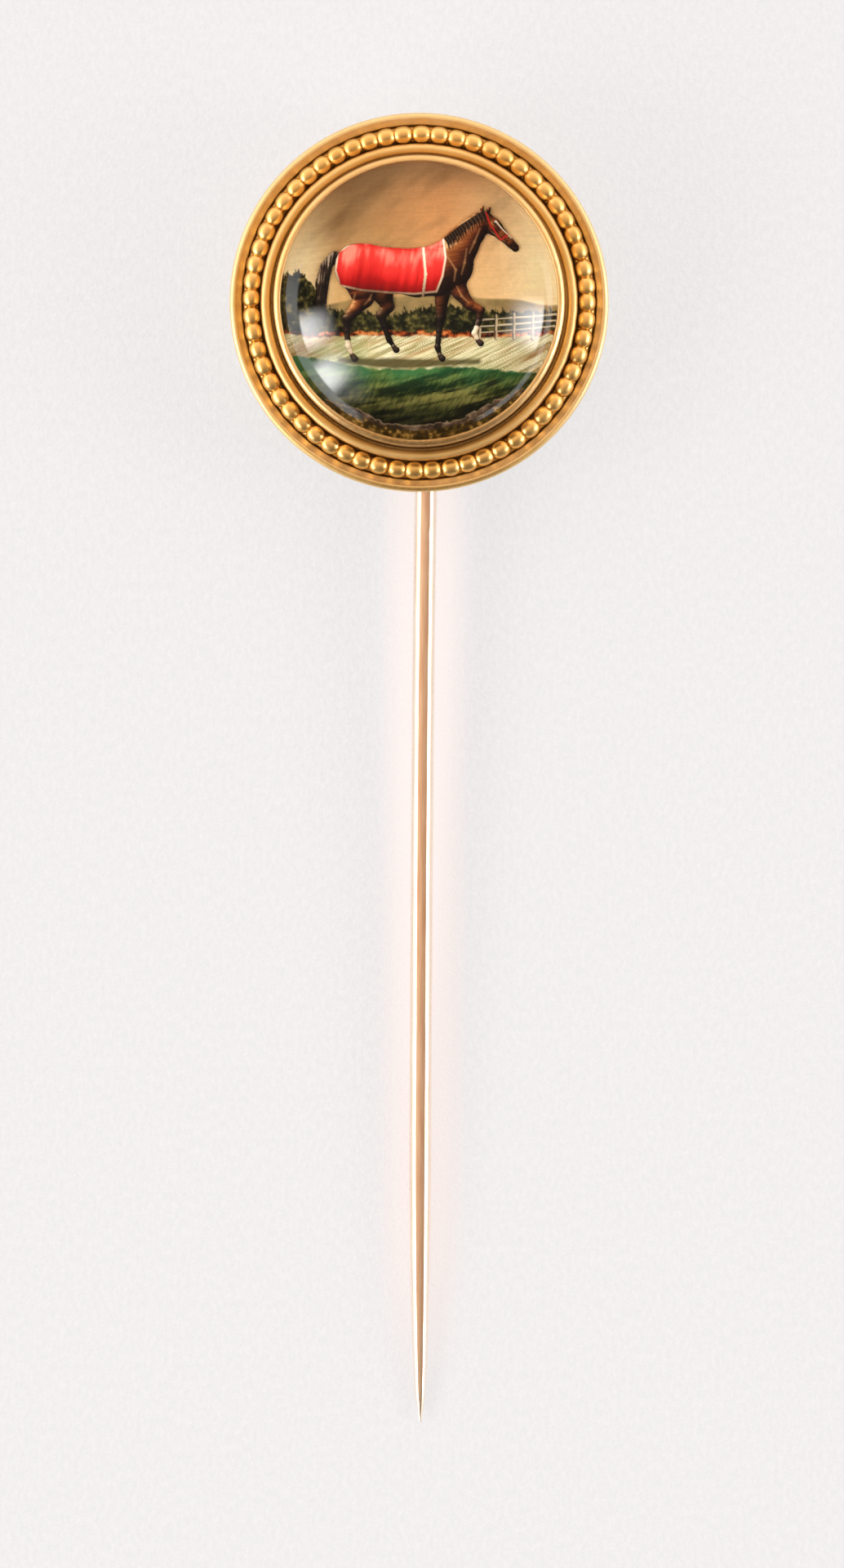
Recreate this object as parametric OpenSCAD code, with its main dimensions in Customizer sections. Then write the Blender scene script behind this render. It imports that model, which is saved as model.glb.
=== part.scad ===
// Stick pin with a round gold head, a domed crystal over a small picture, and a long plain stem.
// Units are millimetres. The pin lies face up: +Z is the way the picture faces, +Y is the top of the picture.
// The origin is under the middle of the whole pin, on the surface that it lies on.

/* [Whole pin] */
// Length from the top of the head to the point of the stem
pin_length = 69.1; // [60:0.1:80]
// Diameter of the head over its outer rim
head_d = 20; // [19.9:0.05:20.2]

/* [Frame of the head] */
// Outer radius of the side wall
wall_r = 9.25; // [9.15:0.05:9.3]
// Thickness of the side wall
wall_t = 0.7; // [0.5:0.05:0.9]
// Height of the under side of the back plate above the rear edge of the wall
plate_z = 2.9; // [2.9:0.05:3]
// Thickness of the back plate
plate_t = 0.5; // [0.4:0.05:0.6]
// Height of the bottom of the channel that the beads lie in
channel_z = 4.13; // [4:0.01:4.15]
// Height of the step that carries the inner ring
step_z = 4.44; // [4.3:0.01:4.45]
// Radius of the round outer edge of the rim
rim_edge_r = 0.25; // [0.2:0.01:0.28]
// Height of the centre of the round outer edge
rim_edge_z = 4.42; // [4.3:0.01:4.5]
// How far the bevel between the round edge and the beads falls towards the beads
bevel_h = 0.22; // [0.16:0.01:0.26]

/* [Beads and inner ring] */
// How many beads lie in the ring
bead_count = 60; // [60:1:60]
// Diameter of a bead
bead_d = 0.94; // [0.93:0.005:0.95]
// Radius of the circle of bead centres
bead_ring_r = 8.83; // [8.82:0.005:8.84]
// Thickness of the wire that joins the beads
bead_wire_d = 0.4; // [0.3:0.05:0.5]
// Turn of the first bead from the bottom of the head, in degrees
bead_phase = -1.5; // [-3:0.1:3]
// Thickness of the plain inner ring
inner_wire_d = 0.54; // [0.5:0.01:0.54]
// Radius of the centre line of the inner ring
inner_ring_r = 8.07; // [8.07:0.005:8.08]

/* [Bezel and crystal] */
// Outer radius of the bezel
bezel_r = 7.62; // [7.6:0.01:7.66]
// Thickness of the bezel wall
bezel_t = 0.28; // [0.25:0.01:0.3]
// Height of the bezel's lip
bezel_z = 6.46; // [6.42:0.01:6.6]
// How far the lip is pushed in over the crystal
lip_reach = 0.08; // [0.06:0.01:0.12]
// Height of the round outer face of the lip
lip_round_h = 0.24; // [0.16:0.01:0.28]
// Width of the bearing inside the bezel
bearing_w = 0.7; // [0.5:0.05:0.9]
// Height of the top of the bearing
bearing_z = 4.43; // [4.4:0.01:4.45]
// Height of the top of the crystal
crystal_top_z = 9.0; // [8.8:0.05:9.1]
// Height of the edge where the dome starts
crystal_edge_z = 6.12; // [6.05:0.01:6.12]
// Height of the flat back of the crystal
crystal_back_z = 5.17; // [5.15:0.01:5.3]

/* [Picture] */
// Thickness of the plate that carries the picture
picture_t = 0.5; // [0.4:0.05:0.5]
// Height of the painted figures above the plate
figure_h = 0.15; // [0.08:0.01:0.15]
// Height of the painted land above the plate
land_h = 0.05; // [0.03:0.01:0.07]
// Height of the horse's rug above the horse
rug_h = 0.03; // [0.02:0.01:0.04]

/* [Stem] */
// Radius of the stem
stem_r = 0.6; // [0.5:0.01:0.6]
// Length of the pointed end
point_length = 14.6; // [12:0.1:18]
// Radius of the very end of the point
point_end_r = 0.06; // [0.04:0.01:0.1]
// Height of the stem's centre line at the point, which leaves the point's belly on the surface
point_end_z = 0.27; // [0.27:0.01:0.4]
// Radius of the tang that goes from the wall to the solder foot
tang_r = 0.4; // [0.35:0.01:0.42]
// How far the stem's line passes to the right of the head's centre
stem_lean = 0.42; // [0.1:0.01:0.5]
// How far the point lies to the right of the head's centre
point_lean = 0.06; // [0:0.01:0.1]
// Radius of the solder foot under the back plate
foot_r = 1.5; // [1.2:0.05:2]

/* [Hidden] */
$fn = 96;
// Clearance between neighbouring pieces
gap = 0.03;
head_r = head_d / 2;
// The head's centre lies this far up from the middle of the whole pin
head_y = pin_length / 2 - head_r;
plate_top_z = plate_z + plate_t;
bead_r = bead_d / 2;
bead_z = channel_z + bead_r + gap / 3;
inner_wire_r = inner_wire_d / 2;
inner_ring_z = step_z + inner_wire_r + gap / 3;
rim_edge_ring_r = head_r - rim_edge_r;
// The channel's outer side stands just clear of the beads
channel_r = bead_ring_r + bead_r + gap / 2;
rim_top_z = rim_edge_z + rim_edge_r;
// The bevel meets the round edge at a fine line, a little below and inside its crest
bevel_r = rim_edge_ring_r - 0.3 * rim_edge_r;
bevel_top_z = rim_top_z - 0.04;
frame_inner_r = bezel_r + gap;
bezel_inner_r = bezel_r - bezel_t;
bezel_bottom_z = plate_top_z + gap / 3;
crystal_r = bezel_inner_r - gap;
dome_h = crystal_top_z - crystal_edge_z;
dome_r = (crystal_r * crystal_r + dome_h * dome_h) / (2 * dome_h);
picture_r = crystal_r;
picture_z = bearing_z + gap / 3;
picture_top_z = picture_z + picture_t;
// The stem's centre line runs from the point's end up to the foot under the head
point_end = [point_lean, head_r - pin_length, point_end_z];
foot_z = plate_z - gap;
stem_top = [stem_lean, 0, foot_z - tang_r - 4 * gap];
stem_run = stem_top - point_end;
stem_length = norm(stem_run);
// Turn and slope of the stem's line, seen from above and from the side
stem_turn = atan2(stem_run[0], stem_run[1]);
stem_slope = asin(stem_run[2] / stem_length);
// The stem's shoulder stands just outside the wall, where the tang begins
shoulder_along = (-wall_r - 2 * gap - point_end[1]) / cos(stem_slope);
slot_w = 2 * (tang_r + gap);
slot_y = -wall_r + wall_t / 2;
// Height of the stem's line where it passes through the wall
slot_z = point_end[2] + stem_run[2] * (slot_y - point_end[1]) / stem_run[1];
slot_x = point_end[0] + stem_run[0] * (slot_y - point_end[1]) / stem_run[1];

// Half-thickness of the point along its length: share of the point's length, share of the stem's radius
POINT_SHAPE = [
    // along, half-thickness
    [0.12, 0.48],
    [0.41, 0.78],
    [0.71, 0.94],
    [1.00, 1.00]
];

// Scale of the painted horse, and its place from the picture's centre
horse_scale = 1.1;
horse_shift = [-0.1, -0.1];
// Limbs of the painted horse, each a chain of joints: x, y, half-width
HORSE_CHAINS = [
    // Trunk
    [[-2.50, 1.50, 0.98], [-1.80, 1.42, 0.90], [-0.90, 1.32, 0.90], [0.00, 1.22, 0.97], [0.80, 1.28, 0.99],
     [1.50, 1.52, 0.86]],
    // Line of the back
    [[-2.75, 1.90, 0.52], [-2.10, 2.08, 0.36], [-1.30, 1.98, 0.26], [-0.30, 1.85, 0.34], [0.60, 2.06, 0.28],
     [1.25, 2.38, 0.30]],
    // Neck and its crest
    [[1.42, 1.80, 0.94], [1.88, 2.45, 0.74], [2.36, 3.02, 0.55], [2.86, 3.52, 0.41]],
    [[1.30, 2.52, 0.26], [1.88, 3.16, 0.20], [2.55, 3.72, 0.18]],
    // Head and ears
    [[3.00, 3.60, 0.36], [3.32, 3.30, 0.39], [3.66, 2.98, 0.28], [4.04, 2.62, 0.215], [4.26, 2.42, 0.20]],
    [[2.84, 3.90, 0.10], [2.82, 4.12, 0.085], [2.90, 4.32, 0.02]],
    [[3.08, 3.88, 0.10], [3.12, 4.10, 0.085], [3.24, 4.26, 0.02]],
    // Near foreleg and far foreleg
    [[1.50, 1.10, 0.52], [1.80, 0.44, 0.34], [2.20, -0.06, 0.235], [2.66, -0.30, 0.185],
     [2.60, -0.78, 0.125], [2.42, -1.26, 0.125], [2.70, -1.70, 0.15]],
    [[1.12, 0.80, 0.42], [1.02, 0.05, 0.27], [0.98, -0.62, 0.20], [0.93, -1.15, 0.125], [0.86, -1.84, 0.13],
     [1.06, -2.32, 0.16]],
    // Near hind leg and far hind leg
    [[-2.45, 1.25, 0.86], [-2.28, 0.62, 0.62], [-2.22, 0.22, 0.43], [-2.60, -0.26, 0.28],
     [-2.96, -0.66, 0.215], [-2.97, -1.16, 0.145], [-2.93, -1.84, 0.14], [-2.66, -2.36, 0.17]],
    [[-1.95, 0.95, 0.60], [-1.40, 0.34, 0.42], [-1.20, -0.14, 0.27], [-1.50, -0.52, 0.205],
     [-1.36, -0.96, 0.135], [-1.16, -1.52, 0.13], [-0.86, -1.96, 0.15]],
    // Tail
    [[-3.26, 2.02, 0.14], [-3.60, 2.00, 0.22], [-3.92, 1.55, 0.28], [-4.06, 0.85, 0.31], [-4.12, 0.15, 0.27],
     [-4.06, -0.50, 0.16], [-3.98, -0.95, 0.05]]
];
// Cut of the horse's rug, whose upper edge lies over the back
RUG = [
    [-3.42, 2.20], [-2.60, 2.75], [-1.40, 2.60], [0.00, 2.60], [0.75, 2.75], [1.12, 2.90], [1.24, 1.90],
    [1.10, 1.10], [0.84, 0.44], [-0.10, 0.34], [-1.20, 0.40], [-2.30, 0.50], [-3.30, 0.72], [-3.52, 1.40]
];
// The fence at the right: heights of its rails at its left end, and places of its posts
FENCE_RAILS = [-0.88, -1.18, -1.46];
FENCE_POSTS = [2.8, 3.6, 4.5, 5.5];
fence_w = 0.09;
fence_rise = 0.26;
fence_end_x = 6.9;

// A round bump of height 1 about a middle
function bump(x, middle, half) = pow(max(1 - pow((x - middle) / half, 2), 0), 0.6);

// Top of the land: the hedge, with a round tree at the left
function land_top(x) = max(-0.42 + 0.16 * sin(x * 52 + 23), 1.9 * bump(x, -6.2, 1.6) - 0.5);

// Points of an arc in a section: centre, radius, start and end angle, number of steps
function arc(x, z, r, from, to, steps = 8) =
    [for (i = [0 : steps]) let (a = from + (to - from) * i / steps) [x + r * cos(a), z + r * sin(a)]];

// Moves its children to the head's axis
module at_head() {
    translate([0, head_y, 0]) children();
}

// Lays its children along the stem's line, with their own z running from the point's end to the foot
module along_stem() {
    translate(point_end)
        rotate([stem_slope, 0, -stem_turn])
            rotate([-90, 0, 0])
                children();
}

// Side wall, back plate, channel and bevelled rim, turned in one
module frame_turning() {
    rotate_extrude()
        polygon(concat(
            [[0, plate_z], [wall_r - wall_t, plate_z], [wall_r - wall_t, 0], [wall_r, 0]],
            [[wall_r, rim_edge_z - 2.4 * rim_edge_r]],
            arc(rim_edge_ring_r, rim_edge_z, rim_edge_r, -60, 105),
            [[bevel_r, bevel_top_z], [channel_r + gap, rim_top_z - bevel_h]],
            [[channel_r, rim_top_z - bevel_h - gap], [channel_r, channel_z]],
            [[frame_inner_r + inner_wire_d + gap, channel_z]],
            [[frame_inner_r + inner_wire_d + gap, step_z], [frame_inner_r, step_z]],
            [[frame_inner_r, plate_top_z], [0, plate_top_z]]
        ));
}

// Slot through the wall, round at its top, that the stem leaves by
module stem_slot() {
    translate([slot_x - slot_w / 2, -head_r, -1])
        cube([slot_w, 2 * wall_t + 1, slot_z + 1]);
    translate([slot_x, -head_r, slot_z])
        rotate([-90, 0, 0])
            cylinder(d = slot_w, h = 2 * wall_t + 1);
}

module head_frame() {
    color("goldenrod")
        at_head()
            difference() {
                frame_turning();
                stem_slot();
            }
}

module beaded_ring() {
    color("gold")
        at_head()
            translate([0, 0, bead_z])
                union() {
                    rotate_extrude()
                        translate([bead_ring_r, 0])
                            circle(d = bead_wire_d, $fn = 16);
                    for (i = [0 : bead_count - 1])
                        rotate([0, 0, -90 + bead_phase + i * 360 / bead_count])
                            translate([bead_ring_r, 0, 0])
                                sphere(d = bead_d, $fn = 16);
                }
}

module inner_ring() {
    color("darkgoldenrod")
        at_head()
            translate([0, 0, inner_ring_z])
                rotate_extrude()
                    translate([inner_ring_r, 0])
                        circle(r = inner_wire_r, $fn = 24);
}

// Tall collet with a bearing inside and a lip that leans over the crystal's edge
module bezel() {
    lip_r = bezel_inner_r - lip_reach;
    lip_under_z = crystal_edge_z + 2 * gap;
    round_w = bezel_t - gap / 3;
    color("khaki")
        at_head()
            rotate_extrude()
                polygon(concat(
                    [[bezel_inner_r - bearing_w, bezel_bottom_z], [bezel_r, bezel_bottom_z]],
                    [for (a = [0 : 15 : 90])
                        [bezel_r - round_w * (1 - cos(a)), bezel_z - lip_round_h * (1 - sin(a))]],
                    [[lip_r + 0.03, bezel_z - 0.02], [lip_r, bezel_z - 0.12]],
                    [[lip_r, lip_under_z + 0.08], [bezel_inner_r, lip_under_z]],
                    [[bezel_inner_r, bearing_z], [bezel_inner_r - bearing_w, bearing_z]]
                ));
}

module crystal() {
    color("aliceblue", 0.4)
        at_head()
            intersection() {
                translate([0, 0, crystal_top_z - dome_r])
                    sphere(r = dome_r);
                translate([0, 0, crystal_back_z])
                    cylinder(r = crystal_r, h = crystal_top_z);
            }
}

// Outline of one chain of joints
module limb(chain) {
    for (i = [0 : len(chain) - 2])
        hull() {
            translate([chain[i][0], chain[i][1]]) circle(r = chain[i][2], $fn = 20);
            translate([chain[i + 1][0], chain[i + 1][1]]) circle(r = chain[i + 1][2], $fn = 20);
        }
}

module horse_outline() {
    translate(horse_shift)
        scale(horse_scale)
            for (chain = HORSE_CHAINS)
                limb(chain);
}

// The rug covers the trunk and the back inside its own cut
module rug_outline() {
    translate(horse_shift)
        scale(horse_scale)
            intersection() {
                polygon(RUG);
                offset(delta = 0.05)
                    for (chain = [HORSE_CHAINS[0], HORSE_CHAINS[1]])
                        limb(chain);
            }
}

module fence_outline() {
    first = FENCE_POSTS[0];
    for (rail = FENCE_RAILS)
        limb([[first, rail, fence_w / 2], [fence_end_x, rail + fence_rise, fence_w / 2]]);
    for (x = FENCE_POSTS)
        limb([
            [x, FENCE_RAILS[0] + 0.2 + 0.06 * (x - first), fence_w / 2],
            [x, FENCE_RAILS[2] - 0.26 - 0.04 * (x - first), fence_w / 2]
        ]);
}

module land_outline() {
    step = 0.3;
    polygon(concat(
        [[-picture_r, -head_r]],
        [for (x = [-picture_r : step : picture_r]) [x, land_top(x)]],
        [[picture_r, land_top(picture_r)], [picture_r, -head_r]]
    ));
}

// Raises a flat outline above the picture's plate by a height
module raised(height) {
    translate([0, 0, picture_top_z - gap])
        linear_extrude(height + gap)
            intersection() {
                circle(r = picture_r - gap);
                children();
            }
}

// Plate with the land, the fence, the horse and its rug in low relief
module painted_plate() {
    color("olivedrab")
        at_head() {
            translate([0, 0, picture_z])
                cylinder(r = picture_r, h = picture_t);
            raised(land_h) land_outline();
            raised((land_h + figure_h) / 2) fence_outline();
            raised(figure_h - rug_h) horse_outline();
            raised(figure_h) rug_outline();
        }
}

module stem() {
    color("peru")
        translate([0, head_y, 0]) {
            along_stem() {
                rotate_extrude()
                    polygon(concat(
                        [[0, 0], [point_end_r, 0]],
                        [for (row = POINT_SHAPE) [row[1] * stem_r, row[0] * point_length]],
                        [[0, point_length]]
                    ));
                translate([0, 0, point_length])
                    cylinder(r = stem_r, h = shoulder_along - point_length);
                translate([0, 0, shoulder_along - gap])
                    cylinder(r = tang_r, h = stem_length - shoulder_along + gap + foot_r / 2);
            }
            translate([stem_lean, 0, foot_z - 0.9])
                cylinder(r = foot_r, h = 0.9);
        }
}

head_frame();
beaded_ring();
inner_ring();
bezel();
crystal();
painted_plate();
stem();
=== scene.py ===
# Looks of a gold stick pin with a domed crystal over a small painted picture, seen from straight above.
from math import asin, cos, dist, pi, radians, sin

import bmesh
import bpy
import numpy as np
from mathutils import Matrix, Vector


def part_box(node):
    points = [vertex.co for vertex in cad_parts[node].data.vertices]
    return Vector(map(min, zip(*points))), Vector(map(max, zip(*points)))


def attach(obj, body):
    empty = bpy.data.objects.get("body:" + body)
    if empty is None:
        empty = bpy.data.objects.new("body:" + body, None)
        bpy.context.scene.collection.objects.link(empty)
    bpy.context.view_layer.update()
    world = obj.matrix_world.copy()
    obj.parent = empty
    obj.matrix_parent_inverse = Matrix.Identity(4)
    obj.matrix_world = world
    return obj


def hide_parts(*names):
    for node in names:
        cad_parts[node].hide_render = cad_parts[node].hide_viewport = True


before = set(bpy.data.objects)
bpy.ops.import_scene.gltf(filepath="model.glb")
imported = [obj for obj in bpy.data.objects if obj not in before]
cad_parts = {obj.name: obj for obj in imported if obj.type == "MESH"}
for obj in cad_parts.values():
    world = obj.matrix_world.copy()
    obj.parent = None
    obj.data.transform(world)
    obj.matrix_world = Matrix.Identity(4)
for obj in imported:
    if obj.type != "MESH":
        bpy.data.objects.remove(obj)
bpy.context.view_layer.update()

# Sizes and places in millimetres, worked out from the frame
MM = 0.001
HEAD_LOW, HEAD_HIGH = np.array(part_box("head_frame")) / MM
HEAD_X, HEAD_Y = (HEAD_LOW[:2] + HEAD_HIGH[:2]) / 2
HEAD_R = (HEAD_HIGH[0] - HEAD_LOW[0]) / 2
BEAD_LOW, BEAD_HIGH = np.array(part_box("beaded_ring")) / MM
BEAD_COUNT = 60
BEAD_PHASE = radians(-91.0)
# The beads were set by hand: how far they drift round the ring, once and twice a turn, and where the most
BEAD_DRIFT = ((1, radians(0.65), radians(39)), (2, radians(0.43), radians(-62)))
# Their sizes as shares of the wire's: mean and spread across, along and up
BEAD_SIZES = ((0.985, 0.008), (1.17, 0.014), (0.975, 0.01))
RING_LOW, RING_HIGH = np.array(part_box("inner_ring")) / MM
BEZEL_LOW, BEZEL_HIGH = np.array(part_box("bezel")) / MM
CRYSTAL_LOW, CRYSTAL_HIGH = np.array(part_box("crystal")) / MM
PLATE_LOW, PLATE_HIGH = np.array(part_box("painted_plate")) / MM
POINT_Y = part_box("stem")[0][1] / MM
# The frame's section: its wall, back plate, channel, step, bevel and rim
WALL_R = 9.25
WALL_T = 0.7
PLATE_Z = 2.9
PLATE_TOP_Z = 3.4
CHANNEL_Z = 4.13
CHANNEL_R = 9.315
STEP_Z = 4.44
STEP_R = 8.22
INSIDE_R = 7.65
BEVEL_H = 0.15
BEVEL_ROUND = 0.14
EDGE_R = 0.25
# The bezel's section and the reach of its lip
BEZEL_INSIDE_R = 7.34
BEARING_R = 6.64
BEARING_Z = 4.43
LIP_R = 7.26
LIP_UNDER_Z = 6.18
# The lip spreads a little above the rings, and its outer face is rounded over this width and drop
LIP_FLARE = 0.02
LIP_W = 0.3
LIP_DROP = 0.24
# The dome's rise above the crystal's side
DOME_RISE = 2.88
# The stem, its tang and slight bow, and its point in shares of its length and of the stem's radius
STEM_R = 0.6
TANG_R = 0.4
STEM_BOW = 0.1
POINT_LENGTH = 14.6
POINT_SHAPE = ((0.0, 0.1), (0.12, 0.48), (0.41, 0.78), (0.71, 0.94), (1.0, 1.0))
POINT_END = np.array((0.06, POINT_Y, 0.27))
STEM_TOP = np.array((0.42, HEAD_Y, 2.35))
FOOT_R = 1.5
FOOT_H = 0.9
SLOT_R = 0.43
# Casting pits on the stem's upper side: place across and along it from the head's centre, radius, depth
PITS = ((0.28, -12.1, 0.1, 0.018), (0.0, -11.4, 0.08, 0.014), (0.34, -12.7, 0.09, 0.014),
        (0.0, -12.8, 0.07, 0.012), (0.0, -53.3, 0.09, 0.012), (-0.1, -21.5, 0.07, 0.008),
        (0.06, -30.2, 0.06, 0.008))
PICTURE_R = (PLATE_HIGH[0] - PLATE_LOW[0]) / 2
# How far the painted figures and the land stand above the picture's plate
FIGURE_RISE = 0.15
LAND_RISE = 0.055

# The photo's frame: pixels, and how many of them a millimetre takes at the rim
PHOTO_W = 1034
PHOTO_H = 1920
PX_PER_MM = 23.3
HEAD_PX = (513.5, 370.4)
CAMERA_DISTANCE = 500
LAMP_DISTANCE = 600
# The tent: its warm dim part overhead, and how bright its white sides, top and bottom are
OVERHEAD = (0.87, 0.66, 0.47)
SIDE_GLOW = 0.85
TOP_GLOW = 0.45
BOTTOM_GLOW = 0.0
# What the crystal mirrors: a dark room, the pale band above its horizon, and the haze beside the left lamps
ROOM = (0.05, 0.04, 0.03)
BAND_GLOW = 2.4
HAZE_GLOW = 1.4
PAPER_GLOW = 0.7
PAPER_HALF = 600


def noise_at(p, seed, scale):
    """Smooth value noise between -1 and 1 at points of any dimension, for hand-made unevenness."""
    q = np.asarray(p, float) * scale + seed * 17.31
    cell = np.floor(q)
    f = q - cell
    f = f * f * (3 - 2 * f)
    hashing = np.array((127.1, 311.7, 74.7))[:q.shape[-1]]
    total = 0.0
    for corner in np.ndindex(*(2,) * q.shape[-1]):
        v = np.sin((cell + corner) @ hashing + seed * 3.7) * 43758.5453
        w = np.prod(np.where(np.array(corner) == 1, f, 1 - f), axis=-1)
        total = total + (v - np.floor(v)) * w
    return 2 * total - 1


def clamp(value):
    return np.clip(value, 0, 1)


def placed(name, data):
    """A new object of the scene."""
    thing = bpy.data.objects.new(name, data)
    bpy.context.scene.collection.objects.link(thing)
    return thing


def mesh_object(name, points, faces, smooth=True):
    """A mesh object from points in millimetres."""
    mesh = bpy.data.meshes.new(name)
    points = (np.asarray(points) * MM).tolist()
    mesh.from_pydata(points, [], [tuple(int(i) for i in f) for f in faces])
    mesh.validate()
    solid = bmesh.new()
    solid.from_mesh(mesh)
    bmesh.ops.recalc_face_normals(solid, faces=solid.faces)
    solid.to_mesh(mesh)
    solid.free()
    mesh.update()
    mesh.polygons.foreach_set("use_smooth", [smooth] * len(mesh.polygons))
    return placed(name, mesh)


def grid_faces(rows, columns, closed_rows=True, closed_columns=True, start=0):
    """Quads over a grid of points that may close on itself along either side."""
    i = np.arange(rows if closed_rows else rows - 1)
    j = np.arange(columns if closed_columns else columns - 1)
    i, j = np.meshgrid(i, j, indexing="ij")
    i2 = (i + 1) % rows
    j2 = (j + 1) % columns
    quads = np.stack([i * columns + j, i2 * columns + j, i2 * columns + j2, i * columns + j2], -1)
    return quads.reshape(-1, 4) + start


def fan(apex, ring):
    """Triangles between a point and the closed ring round it."""
    return [(apex, a, b) for a, b in zip(ring, np.roll(ring, -1))]


def patina_and_light_at(thing, cover):
    """Keeps each point's patina and painted light: 1 is patina and painted shade, -1 a painted pale sheen.

    Its function takes the radius, the height, and the place across and up the head in head radii.
    """
    place = np.empty(len(thing.data.vertices) * 3)
    thing.data.vertices.foreach_get("co", place)
    x, y, z = place.reshape(-1, 3).T / MM
    x, y = (x - HEAD_X) / HEAD_R, (y - HEAD_Y) / HEAD_R
    layer = thing.data.attributes.new("patina_and_light", "FLOAT", "POINT")
    layer.data.foreach_set("value", np.clip(cover(np.hypot(x, y) * HEAD_R, z, x, y), -1, 1))


def towards_light(x, y):
    """How far a place lies towards the head's top right, where less shade is painted into the grooves: 0 to
    1.
    """
    return clamp(x + y + 0.3)


def dressed(thing, material, node, cover=None):
    """Gives a piece its patina and painted light and its material, and hides the CAD node it stands for."""
    if cover:
        patina_and_light_at(thing, cover)
    thing.data.materials.append(material)
    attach(thing, "root")
    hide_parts(node)


def swept(r, z, angle):
    """Points at radii, heights and angles about the head's axis."""
    x, y = HEAD_X + r * np.cos(angle), HEAD_Y + r * np.sin(angle)
    return np.stack([x, y, z + 0 * angle], -1).reshape(-1, 3)


def round_head(angle, third):
    """Places for noise that closes on itself round the head."""
    return np.stack([np.cos(angle), np.sin(angle), third], -1)


def stem_at(y):
    """Place across and height of the stem's straight line, at a place along it."""
    share = (y - POINT_END[1]) / (HEAD_Y - POINT_END[1])
    return (POINT_END[i] + (STEM_TOP[i] - POINT_END[i]) * share for i in (0, 2))


def turned(name, section, steps, shake=None, capped=False):
    """A section of (radius, height) turned about the head's axis, and shaken by a function of its points.

    The section closes on itself, or is capped at both ends where they meet the axis.
    """
    angle = (np.arange(steps) * 2 * pi / steps)[:, None]
    section = np.asarray(section)
    r = section[None, :, 0] + 0 * angle
    z = section[None, :, 1] + 0 * angle
    if shake:
        r, z = shake(angle + 0 * r, r, z)
    points = swept(r, z, angle)
    faces = grid_faces(steps, len(section), closed_columns=not capped).tolist()
    if capped:
        for column in (0, len(section) - 1):
            faces += fan(len(points), np.arange(steps) * len(section) + column)
            points = np.concatenate([points, [(HEAD_X, HEAD_Y, z[:, column].mean())]])
    return mesh_object(name, points, faces)


def arc(x, z, r, start, end, steps=10):
    """Points of an arc in a section, in degrees."""
    a = np.radians(np.linspace(start, end, steps + 1))
    return [(x + r * cos(v), z + r * sin(v)) for v in a]


def along(path, step, closed=True):
    """Fills the straight stretches of a section with more points, about a step apart."""
    out = []
    for p, q in zip(path, path[1:] + path[:1] * closed):
        count = max(1, int(dist(p, q) / step - 1e-9))
        out += [(p[0] + (q[0] - p[0]) * k / count, p[1] + (q[1] - p[1]) * k / count) for k in range(count)]
    return out if closed else out + path[-1:]


# Node materials

class Graph:
    """The nodes of a material, world or lamp. An input takes a number, a colour or a socket."""

    def __init__(self, owner):
        owner.use_nodes = True
        self.nodes = owner.node_tree.nodes
        self.links = owner.node_tree.links

    def feed(self, node, *values, **named):
        """Sets inputs in their order, or by name with _ for a space."""
        for key, value in [*enumerate(values), *named.items()]:
            socket = node.inputs[key if isinstance(key, int) else key.replace("_", " ")]
            if isinstance(value, bpy.types.NodeSocket):
                self.links.new(value, socket)
            else:
                socket.default_value = (*value, 1) if socket.type == "RGBA" else value
        return node

    def add(self, kind, *values, **named):
        """A new node. Names in small letters are its settings, the others its inputs."""
        node = self.nodes.new("ShaderNode" + kind)
        for name in [name for name in named if name.islower()]:
            setattr(node, name, named.pop(name))
        return self.feed(node, *values, **named)

    def out(self, kind, *values, **named):
        """A new node's first output that is in use."""
        return next(socket for socket in self.add(kind, *values, **named).outputs if socket.enabled)

    def noise(self, place, scale, detail=4.0, rough=0.55, stretch=None):
        if stretch:
            place = self.out("Mapping", Vector=place, Scale=stretch)
        return self.out("TexNoise", Vector=place, Scale=scale, Detail=detail, Roughness=rough)

    def ramp(self, value, low, high, start=0.0, end=1.0, shape="LINEAR"):
        return self.out("MapRange", value, low, high, start, end, interpolation_type=shape)

    def soft_ramp(self, *values):
        return self.ramp(*values, shape="SMOOTHSTEP")

    def mix(self, factor, under, colour):
        return self.out("Mix", Factor=factor, A=under, B=colour, data_type="RGBA")

    def math(self, operation, *values):
        return self.out("Math", *values, operation=operation)

    def product(self, first, *others):
        for other in others:
            first = self.math("MULTIPLY", first, other)
        return first

    def bump(self, height, distance):
        return self.out("Bump", Strength=1.0, Distance=distance, Height=height)


def new_material(name):
    """A material without nodes, its graph and object coordinates for it."""
    material = bpy.data.materials.new(name)
    graph = Graph(material)
    graph.nodes.clear()
    return material, graph, graph.add("TexCoord").outputs["Object"]


def gold(name, light, dark, rough, grain, grain_height, streaks=None, pale=(1.0, 0.86, 0.64)):
    """Cloudy metal with uneven gloss and a fine grain, patina and painted shade above 0, a painted pale
    sheen below 0.
    """
    material, graph, place = new_material(name)
    cloud = graph.noise(place, 5500 if streaks else 420, 5, 0.55, streaks)
    metal = graph.mix(graph.ramp(cloud, 0.35, 0.65), dark, light)
    patina_and_light = graph.add("Attribute", attribute_name="patina_and_light").outputs["Fac"]
    cover = graph.product(graph.ramp(graph.noise(place, 5200), 0.3, 0.7, 0.7, 1.3), patina_and_light)
    # A painted pale sheen where the attribute is below 0, patina and painted shade where it is above 0
    rubbed = graph.mix(graph.product(cover, -1.0), metal, pale)
    shader = graph.out(
        "BsdfPrincipled", Base_Color=graph.mix(cover, rubbed, PATINA_AND_SHADE), Metallic=1.0,
        Roughness=graph.ramp(graph.noise(place, 900), 0.3, 0.7, *rough),
        Normal=graph.bump(graph.noise(place, grain, 3, 0.6, streaks), grain_height)
    )
    graph.add("OutputMaterial", Surface=shader)
    return material


# Brown of patina in the hollows, also laid on as painted shade
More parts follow.
